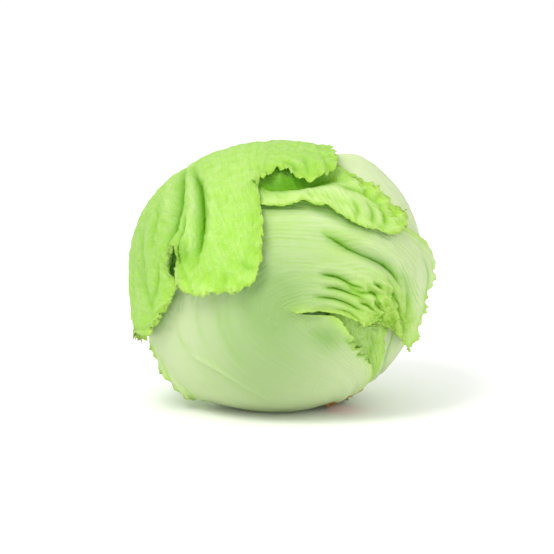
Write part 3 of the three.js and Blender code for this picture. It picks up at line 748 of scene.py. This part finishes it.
LEAVES = [
    {
        "name": "leaf_right",
        "layer": LAYER["right"],
        "seed": 124,
        "rows": rows_of_right,
        "across": 150,
        "lengthways": 150,
        "rib": 1.2,
        "pleats": 1.4,
        "puffs": 0.4,
        "green": green_of_right,
        "strokes": RIGHT_STROKES,
        "lifts": [(front(62, 52), 3.0, 26), (front(45, 63), 3.0, 12), (front(37, 67), 4.2, 12)],
    },
    {
        "name": "leaf_inner",
        "layer": LAYER["inner"],
        "seed": 115,
        "rows": rows_of_inner,
        "across": 90,
        "lengthways": 110,
        "frill": (0, 0.8, 0.8),
        "teeth": 0.6,
        "pleats": 2.0,
        "green": even(0.62),
        "strokes": INNER_STROKES,
        "lifts": [(STEM_AXIS, -1.0, 18)],
        "crumples": [(front(47, -36), 1.6, 12, 6.0)],
        # Greyish painted shade deep in the mouth.
        "painted_grey_shade": [(front(46, -38), 0.4, 12)],
    },
    {
        "name": "leaf_left",
        "layer": LAYER["left"],
        "seed": 117,
        "rows": rows_of_left,
        "across": 110,
        "lengthways": 150,
        "green": even(0.5),
        "lifts": [(front(-18, -72), -0.4, 16)],
        # Painted shade where this leaf shows in the cap leaf's notch.
        "shaded": [(front(-55, 10), 1.0, 14)],
    },
    {
        "name": "leaf_back",
        "layer": LAYER["back"],
        "seed": 107,
        "rows": rows_of_back,
        "across": 150,
        "lengthways": 180,
        "rib": 1.6,
        "frill": (2.6, 0, 0.8),
        "teeth": 0.8,
        "puffs": 1.4,
        "green": even(0.5),
        "lifts": [
            (turns(-120, away=24)[0], -3.8, 18),
            (direction(60, -41, -1, LAYER["back"]), -3.6, 16),
            (STEM_AXIS, -2.5, 26),
        ],
    },
    {
        "name": "leaf_front",
        "layer": LAYER["front"],
        "seed": 112,
        "rows": rows_of_front,
        "across": 190,
        "lengthways": 250,
        "midrib": 0.7,
        "rib": 1.4,
        "frill": (0.5, 0.5, 2.4),
        "teeth": 0.45,
        "puffs": 0.4,
        "pleats": 1.1,
        "green": green_of_front,
        "strokes": FRONT_STROKES,
        "flares": [(front(-60, -50), 4.5, 34)],
        "margin_grows": (0.07, 0.2),
        "ragged": [(front(-60, -52), 5.0, 26), (front(44, -38), 6.5, 11), (front(70, -38), 4.0, 10)],
        "peels": [
            (front(-60, -53), 5.0, 22),
            (front(-40, -68), 3.0, 16),
            (front(18, -20), 2.2, 9),
            (front(35, -31), 1.8, 9),
        ],
        "lifts": [
            (front(84, 2), 1.0, 20),
            (front(70, -36), 2.0, 16),
            (front(48, -14), 2.4, 14),
            (STEM_AXIS, -1.4, 18),
        ],
        "crumples": [
            (front(57, -18), 3.6, 11, 7.2),
            (front(65, -27), 3.6, 10, 6.4),
            (front(47, -8), 1.2, 9, 8.0),
        ],
        "relief_shade_and_highlight": 0.7,
        "yellow": [
            (front(56, -18), 0.8, 13),
            (front(66, -28), 0.7, 11),
            (front(36, -8), 0.5, 14),
            (front(71, -39), 0.5, 8),
        ],
        # Painted shade under the shoulder leaf's lower edge and in the cap leaf's notch.
        "shaded": [
            (front(-6, 41), 0.7, 6),
            (front(6, 41.5), 0.8, 6),
            (front(18, 41), 0.8, 6),
            (front(29, 36), 0.7, 6),
            (front(40, 30), 0.5, 6),
            (front(-58, 2), 0.6, 7),
        ],
        # Greyish painted shade over the body's middle, low by the stem and under the lower lip.
        "painted_grey_shade": [
            (front(-4, -18), 0.85, 42),
            (front(-6, -13), 0.4, 14),
            (front(-10, -62), 0.4, 30),
            (front(27, -34), 0.4, 8),
        ],
    },
    {
        "name": "leaf_shoulder",
        "layer": LAYER["shoulder"],
        "seed": 126,
        "rows": rows_of_shoulder,
        "across": 230,
        "lengthways": 150,
        "rib": 0.0,
        "frill": (0, 0, 0.8),
        "teeth": 0.5,
        "ragged": [(front(56, 42), 2.0, 18)],
        "puffs": 1.0,
        "green": green_of_shoulder,
        "strokes": SHOULDER_STROKES,
        "flares": [(front(58, 38), 3.0, 20)],
        "lifts": [
            (front(27, 66), -2.4, 13),
            (direction(15, -46, -1, LAYER["shoulder"]), -2.2, 34),
            (STEM_AXIS, -5.5, 26),
        ],
        "yellow": [(front(52, 46), 0.6, 14), (front(64, 34), 0.5, 12)],
        "crumples": [(front(48, 49), 3.4, 13, 5.5), (front(62, 34), 2.6, 11, 5.5)],
        # Painted shade in the gap under the cap leaf's edge.
        "shaded": [
            (front_shoulder(-4, 51), 0.75, 9),
            (front_shoulder(8, 52.5), 0.6, 8),
            (front_shoulder(20, 54), 0.5, 7),
        ],
    },
    {
        "name": "leaf_cap",
        "layer": LAYER["cap"],
        "seed": 107,
        "rows": rows_of_cap,
        "across": 260,
        "lengthways": 180,
        "midrib": 0.42,
        "rib": 1.8,
        "frill": (1.6, 1.6, 2.4),
        "teeth": 1.4,
        "puffs": 1.4,
        "relief_shade_and_highlight": 0.4,
        "green": green_of_cap,
        "strokes": CAP_STROKES,
        "flares": [(front(31, 65), -0.9, 17), (front_cap(-57, -2), 1.0, 9)],
        "lifts": [
            (front(-83, -34), 0.6, 24),
            (front(-84, 6), 0.4, 20),
            (front(20, 56), 1.0, 12),
            (front(30, 68), -4.2, 13),
            (direction(15, -46, -1, LAYER["cap"]), -3.8, 36),
            (STEM_AXIS, -6.0, 22),
        ],
        "ragged": [(front_cap(-76, -33), 1.0, 9)],
        "peels": [(front_cap(-57, 4), 2.5, 10), (front_cap(-48, -9), 2.0, 7), (front_cap(6, 57), 1.2, 14)],
        "crumples": [(front_cap(-60, 6), 3.4, 11, 6.5), (front_cap(-44, -8), 2.0, 9, 6.5)],
        # Painted shade in the notch between the lobes, and greyish painted shade over the left lobe.
        "shaded": [(front_cap(-53, 10), 0.5, 5)],
        "painted_grey_shade": [(front_cap(-76, 18), 0.45, 26)],
    },
]


def lathe(profile, sides):
    """Rings of places round the stem's axis from (radius, height) pairs that start and end on it."""
    across = unit(np.cross(STEM_AXIS, UP))
    other = np.cross(STEM_AXIS, across)
    angles = np.linspace(0, 2 * np.pi, sides, endpoint=False)
    ring = np.cos(angles)[:, None] * across + np.sin(angles)[:, None] * other
    return np.stack([STEM_AXIS * h + ring * r for r, h in profile])


STEM_END = HEART_HALF[2] + STEM_PROUD
STEM_FROM = STEM_END - STEM_DEEP


def heart_middle():
    """Where the heart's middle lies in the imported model's frame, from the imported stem's place."""
    profile = [
        (STEM_BLUNT, STEM_FROM),
        (STEM_RADIUS, STEM_FROM + STEM_DEEP / 3),
        (STEM_RADIUS, STEM_END - STEM_CHAMFER),
        (STEM_RADIUS - STEM_CHAMFER, STEM_END),
    ]
    low, high = (np.array(c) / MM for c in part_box("stem"))
    rings = lathe(profile, 360).reshape(-1, 3)
    return (low + high) / 2 - (rings.min(0) + rings.max(0)) / 2


def fine_stem_profile():
    """The butt's side, its rounded rim and a cut that is dished and ringed."""
    radius = STEM_RADIUS * 0.98
    profile = [(0.0, STEM_FROM), (STEM_BLUNT, STEM_FROM)]
    for share in np.linspace(0, 1, 25):
        height = STEM_FROM + share * (STEM_DEEP - STEM_CHAMFER)
        profile.append((STEM_BLUNT + (radius - STEM_BLUNT) * smooth(share, 0, 0.35), height))
    for a in np.linspace(0, np.pi / 2, 9)[1:]:
        rim = radius - STEM_CHAMFER * (1 - math.cos(a))
        profile.append((rim, STEM_END - STEM_CHAMFER * (1 - math.sin(a))))
    for r in np.linspace(radius - STEM_CHAMFER, 0, 31)[1:-1]:
        profile.append((r, STEM_END - 0.25 - 0.35 * math.cos(r * 0.9)))
    return profile + [(0.0, STEM_END - STEM_SUNK)]


def stem_object(middle):
    """The butt, a little uneven round its side, as a closed mesh."""
    sides, lump, most, tall = 96, 4.0, 0.4, 0.25
    profile = fine_stem_profile()
    rings = lathe(profile, sides)
    body = rings[1:-1].reshape(-1, 3)
    wobble = np.array([noise.noise(Vector(p / lump)) for p in body])
    radial = body - (body @ STEM_AXIS)[:, None] * STEM_AXIS
    body = body + unit(radial) * (tall * np.minimum(wobble, most))[:, None]
    vertices = np.concatenate([rings[0][:1], body, rings[-1][:1]])
    last = len(vertices) - 1
    count = len(profile) - 2
    grid = 1 + np.arange(count * sides).reshape(count, sides)
    after = np.roll(grid, -1, axis=1)
    faces = np.stack([grid[:-1], after[:-1], after[1:], grid[1:]], axis=-1).reshape(-1, 4).tolist()
    faces += [(0, int(after[0, k]), int(grid[0, k])) for k in range(sides)]
    faces += [(last, int(grid[-1, k]), int(after[-1, k])) for k in range(sides)]
    cut = smooth(vertices @ STEM_AXIS, STEM_END - 2.5, STEM_END - 0.8)
    return mesh_object("butt", vertices, faces, {"cut": cut}, middle)


def heart_object(middle):
    """The heart, with the edges of its tightly folded leaves as low steps that wind up from the stem."""
    turns_round, rings, wraps, climb, step = 240, 160, 5, 1.6, 0.9
    ring = np.linspace(0, 1, rings + 1)[:, None]
    turn = np.linspace(0, 1, turns_round, endpoint=False)[None, :]
    a, t = (np.pi * ring)[..., None], (2 * np.pi * turn)[..., None]
    dirs = STEM_AXIS * np.cos(a) + np.sin(a) * (STEM_NEAR * np.cos(t) + STEM_LEFT * np.sin(t))
    winding = wraps * turn + climb * ring
    share = winding - np.floor(winding)
    fullness = np.sin(np.pi * ring)
    pleats = 0.25 * waves(np.random.default_rng(SEED), turn, ring, 8, (20, 60), (-2, 2))
    height = -step + (step * share * (1 - smooth(share, 0.96, 1.0)) + pleats) * fullness
    vertices = place(dirs, height, 0).reshape(-1, 3)
    grid = np.arange((rings + 1) * turns_round).reshape(rings + 1, turns_round)
    after = np.roll(grid, -1, axis=1)
    faces = np.stack([grid[1:-2], grid[2:-1], after[2:-1], after[1:-2]], axis=-1).reshape(-1, 4).tolist()
    faces += [(int(grid[1, k]), int(after[1, k]), int(grid[0, 0])) for k in range(turns_round)]
    faces += [(int(after[-2, k]), int(grid[-2, k]), int(grid[-1, 0])) for k in range(turns_round)]
    full = np.ones_like(winding)
    grain = np.stack([turn * 200 * full, ring * 200 * full, 0 * full], axis=-1).reshape(-1, 3)
    none = np.zeros(winding.size)
    attributes = dict.fromkeys(("deep", "painted_hollow_shade", "painted_crest_highlight", "painted_grey_shade", "edge"), none)
    attributes |= {"green": none + 0.2, "grain": grain}
    return mesh_object("folded_heart", vertices, faces, attributes, middle)


class Nodes:
    """Short forms for making and joining a material's nodes."""

    def __init__(self, name):
        self.material = bpy.data.materials.new(name)
        self.material.use_nodes = True
        self.tree = self.material.node_tree
        self.tree.nodes.clear()

    def add(self, kind, **settings):
        node = self.tree.nodes.new("ShaderNode" + kind)
        for key, value in settings.items():
            setattr(node, key, value)
        return node

    def join(self, a, b):
        self.tree.links.new(a, b)

    def put(self, socket, value):
        if isinstance(value, bpy.types.NodeSocket):
            self.join(value, socket)
        else:
            socket.default_value = value

    def attribute(self, name, vector=False):
        node = self.add("Attribute", attribute_name=name, attribute_type="GEOMETRY")
        return node.outputs["Vector" if vector else "Fac"]

    def math(self, operation, a, b=0.0, clamp=False):
        node = self.add("Math", operation=operation, use_clamp=clamp)
        self.put(node.inputs[0], a)
        self.put(node.inputs[1], b)
        return node.outputs[0]

    def times(self, a, b):
        return self.math("MULTIPLY", a, b)

    def plus(self, a, b, clamp=False):
        return self.math("ADD", a, b, clamp)

    def scaled(self, vector, by):
        node = self.add("Mapping")
        self.join(vector, node.inputs["Vector"])
        node.inputs["Scale"].default_value = by
        return node.outputs[0]

    def noise(self, vector, scale, detail=3.0, roughness=0.5, distortion=0.0, output="Fac"):
        node = self.add("TexNoise")
        self.join(vector, node.inputs["Vector"])
        node.inputs["Scale"].default_value = scale
        node.inputs["Detail"].default_value = detail
        node.inputs["Roughness"].default_value = roughness
        node.inputs["Distortion"].default_value = distortion
        return node.outputs[output]

    def cells(self, vector, scale):
        node = self.add("TexVoronoi", feature="DISTANCE_TO_EDGE")
        self.join(vector, node.inputs["Vector"])
        node.inputs["Scale"].default_value = scale
        return node.outputs["Distance"]

    def step(self, value, low, high, to_low=0.0, to_high=1.0):
        node = self.add("MapRange", clamp=True, interpolation_type="SMOOTHSTEP")
        self.join(value, node.inputs["Value"])
        for key, number in (("From Min", low), ("From Max", high), ("To Min", to_low), ("To Max", to_high)):
            node.inputs[key].default_value = number
        return node.outputs["Result"]

    def mix(self, share, a, b):
        node = self.add("Mix", data_type="RGBA")
        self.put(node.inputs["Factor"], share)
        colours = [s for s in node.inputs if s.type == "RGBA"]
        self.put(colours[0], a)
        self.put(colours[1], b)
        return [s for s in node.outputs if s.type == "RGBA"][0]

    def bump(self, height, strength, distance):
        node = self.add("Bump")
        node.inputs["Strength"].default_value = strength
        node.inputs["Distance"].default_value = distance
        self.join(height, node.inputs["Height"])
        return node.outputs["Normal"]

    def skin(self, colour, roughness, normal=None, **settings):
        node = self.add("BsdfPrincipled")
        self.put(node.inputs["Base Color"], colour)
        self.put(node.inputs["Roughness"], roughness)
        if normal is not None:
            self.join(normal, node.inputs["Normal"])
        for key, value in settings.items():
            node.inputs[key.replace("_", " ")].default_value = value
        return node.outputs[0]

    def finish(self, surface):
        self.join(surface, self.add("OutputMaterial").inputs["Surface"])
        return self.material


def rgb(r, g, b):
    """A colour from its 0 to 255 screen values."""
    linear = [(c / 255 / 12.92) if c <= 10.3 else ((c / 255 + 0.055) / 1.055) ** 2.4 for c in (r, g, b)]
    return (*linear, 1.0)


PALE = rgb(226, 239, 192)
MID = rgb(200, 236, 134)
BRIGHT = rgb(168, 226, 68)
RIM = rgb(200, 240, 92)
# Painted shade: the colours for hollows, for creases and for greyish shaded patches.
PAINTED_HOLLOW_SHADE = rgb(166, 222, 52)
PAINTED_CREASE_SHADE = rgb(108, 182, 10)
PAINTED_GREY_SHADE = rgb(146, 186, 104)
# The veins' pale colour, which is also painted onto the crests as highlight.
VEIN_AND_PAINTED_HIGHLIGHT = rgb(230, 244, 182)
GLOW = rgb(160, 228, 34)


def leaf_veins(m, grain, bright_share):
    """A warped net whose cells run along the leaf, coarse and fine."""
    warp = m.add("VectorMath", operation="MULTIPLY_ADD")
    m.join(m.noise(grain, 0.11, 2.0, output="Color"), warp.inputs[0])
    warp.inputs[1].default_value = (7.0, 7.0, 0.0)
    m.join(grain, warp.inputs[2])
    coarse = m.step(m.cells(m.scaled(warp.outputs[0], (0.17, 0.11, 1.0)), 1.0), 0.0, 0.075, 1.0, 0.0)
    net = m.step(m.cells(m.scaled(warp.outputs[0], (0.42, 0.25, 1.0)), 1.0), 0.0, 0.09, 1.0, 0.0)
    colour_share = m.times(m.times(m.plus(coarse, net), 0.16), bright_share)
    relief = m.times(m.plus(m.times(coarse, 0.5), m.times(net, 0.28)), bright_share)
    return colour_share, relief


def leaf_material():
    """Pale ribs to bright blades, with soft patches, streaks along the growth and a net of veins. Painted
    shade darkens the creases, hollows and greyish patches, and a painted highlight lightens the crests.
    """
    m = Nodes("fresh_leaf")
    green, deep, edge = m.attribute("green"), m.attribute("deep"), m.attribute("edge")
    grain = m.attribute("grain", vector=True)
    place_in = m.add("TexCoord").outputs["Object"]
    patch = m.math("SUBTRACT", m.noise(place_in, 38.0, 3.0, 0.55), 0.5)
    streak = m.noise(m.scaled(grain, (0.42, 0.018, 1.0)), 1.0, 4.0, 0.6, 0.3)
    fine = m.noise(m.scaled(grain, (1.9, 0.05, 1.0)), 1.0, 2.0, 0.5, 0.2)
    amount = m.plus(green, m.times(patch, 0.34), clamp=True)
    amount = m.plus(amount, m.times(m.math("SUBTRACT", streak, 0.5), 0.5), clamp=True)
    colour = m.mix(m.step(amount, 0.05, 0.5), PALE, MID)
    colour = m.mix(m.step(amount, 0.45, 0.95), colour, BRIGHT)

    bright_share = m.step(green, 0.3, 0.9, 0.25, 1.0)
    veins, vein_relief = leaf_veins(m, grain, bright_share)
    colour = m.mix(veins, colour, VEIN_AND_PAINTED_HIGHLIGHT)
    colour = m.mix(m.times(m.step(fine, 0.56, 0.72), 0.28), colour, VEIN_AND_PAINTED_HIGHLIGHT)
    # Painted highlight on the crests, then painted shade in greyish patches, in hollows and in creases.
    colour = m.mix(m.times(m.attribute("painted_crest_highlight"), 0.5), colour, VEIN_AND_PAINTED_HIGHLIGHT)
    colour = m.mix(m.times(m.attribute("painted_grey_shade"), 0.85), colour, PAINTED_GREY_SHADE)
    colour = m.mix(m.times(m.attribute("painted_hollow_shade"), 0.8), colour, PAINTED_HOLLOW_SHADE)
    colour = m.mix(m.times(deep, 0.85), colour, PAINTED_CREASE_SHADE)
    colour = m.mix(m.times(edge, 0.55), colour, RIM)

    relief = m.plus(vein_relief, m.plus(m.times(streak, 0.9), m.times(fine, 0.3)))
    relief = m.plus(relief, m.times(m.noise(place_in, 900.0, 2.0), 0.08))
    normal = m.bump(relief, 0.5, 0.0008)
    roughness = m.step(m.noise(place_in, 160.0, 2.0), 0.3, 0.7, 0.42, 0.58)
    skin = m.skin(colour, roughness, normal, Specular_IOR_Level=0.35, Subsurface_Weight=0.12)
    skin.node.inputs["Subsurface Scale"].default_value = 0.003
    skin.node.inputs["Subsurface Radius"].default_value = (0.7, 1.0, 0.25)
    through_leaf = m.add("BsdfTranslucent")
    m.join(m.mix(0.55, colour, GLOW), through_leaf.inputs["Color"])
    m.join(normal, through_leaf.inputs["Normal"])
    both = m.add("MixShader")
    both.inputs["Fac"].default_value = 0.3
    m.join(skin, both.inputs[1])
    m.join(through_leaf.outputs[0], both.inputs[2])
    return m.finish(both.outputs[0])


def stem_material():
    m = Nodes("cut_stem")
    place_in = m.add("TexCoord").outputs["Object"]
    blotch = m.noise(place_in, 260.0, 4.0, 0.6)
    side = m.mix(blotch, rgb(214, 222, 170), rgb(190, 190, 120))
    face = m.mix(m.step(blotch, 0.35, 0.65), rgb(206, 146, 66), rgb(150, 88, 24))
    colour = m.mix(m.attribute("cut"), side, face)
    normal = m.bump(m.noise(place_in, 700.0, 4.0, 0.6), 0.5, 0.0006)
    return m.finish(m.skin(colour, 0.72, normal))


def add_floor():
    """A pale floor that sweeps up into a backdrop behind, with room on every side."""
    half, sweep, tall = 6.0, 1.5, 6.0
    profile = [(-half, 0.0), (half - sweep, 0.0)]
    for a in np.linspace(0, math.pi / 2, 13)[1:]:
        profile.append((half - sweep + sweep * math.sin(a), sweep - sweep * math.cos(a)))
    profile.append((half, tall))
    vertices = [(x, y, z) for x in (-half, half) for y, z in profile]
    n = len(profile)
    mesh = bpy.data.meshes.new("floor")
    mesh.from_pydata(vertices, [], [(k, n + k, n + k + 1, k + 1) for k in range(n - 1)])
    mesh.polygons.foreach_set("use_smooth", [True] * len(mesh.polygons))
    m = Nodes("pale_floor")
    mesh.materials.append(m.finish(m.skin((0.97, 0.97, 0.97, 1), 0.9)))
    floor = bpy.data.objects.new("floor", mesh)
    bpy.context.scene.collection.objects.link(floor)


def add_light(name, place_at, target, size, power, colour=(1, 1, 1)):
    light = bpy.data.lights.new(name, "AREA")
    light.shape = "DISK"
    light.size = size
    light.energy = power
    light.color = colour
    made = bpy.data.objects.new(name, light)
    made.location = place_at
    made.rotation_euler = (Vector(target) - Vector(place_at)).to_track_quat("-Z", "Y").to_euler()
    bpy.context.scene.collection.objects.link(made)


def add_lights(middle):
    world = bpy.data.worlds.new("studio")
    world.use_nodes = True
    back = world.node_tree.nodes["Background"]
    back.inputs["Color"].default_value = (1, 1, 1, 1)
    back.inputs["Strength"].default_value = 1.0
    bpy.context.scene.world = world
    target = tuple(middle * MM)
    add_light("key", (-0.55, -0.75, 1.15), target, 0.7, 11.0, (1.0, 0.99, 0.97))
    add_light("fill", (0.9, -0.9, 0.5), target, 0.9, 1.6)


def add_camera(middle):
    """A long lens at the photograph's height, framed as the photograph is."""
    camera = bpy.data.cameras.new("camera")
    aim = middle - in_view(*HEART_PLACE, 0) + in_view(*PHOTO_CENTRE, 0)
    camera.sensor_width = 36
    camera.lens = camera.sensor_width * CAMERA_AWAY / PHOTO_WIDE
    camera.clip_end = 50
    made = bpy.data.objects.new("camera", camera)
    made.location = Vector((aim + NEAR * CAMERA_AWAY) * MM)
    made.rotation_euler = (-Vector(NEAR)).to_track_quat("-Z", "Y").to_euler()
    bpy.context.scene.collection.objects.link(made)
    bpy.context.scene.camera = made


def dress(piece, node, material):
    """Gives a piece its material and the solid whose place it takes."""
    piece.data.materials.append(material)
    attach(piece, "root")
    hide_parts(node)


middle = heart_middle()
add_camera(middle)
add_lights(middle)
add_floor()
bpy.context.scene.view_settings.view_transform = "Standard"

leaf_skin = leaf_material()
for leaf in LEAVES:
    dress(leaf_object(PLAIN_LEAF | leaf, middle), leaf["name"], leaf_skin)
dress(heart_object(middle), "heart", leaf_skin)
dress(stem_object(middle), "stem", stem_material())
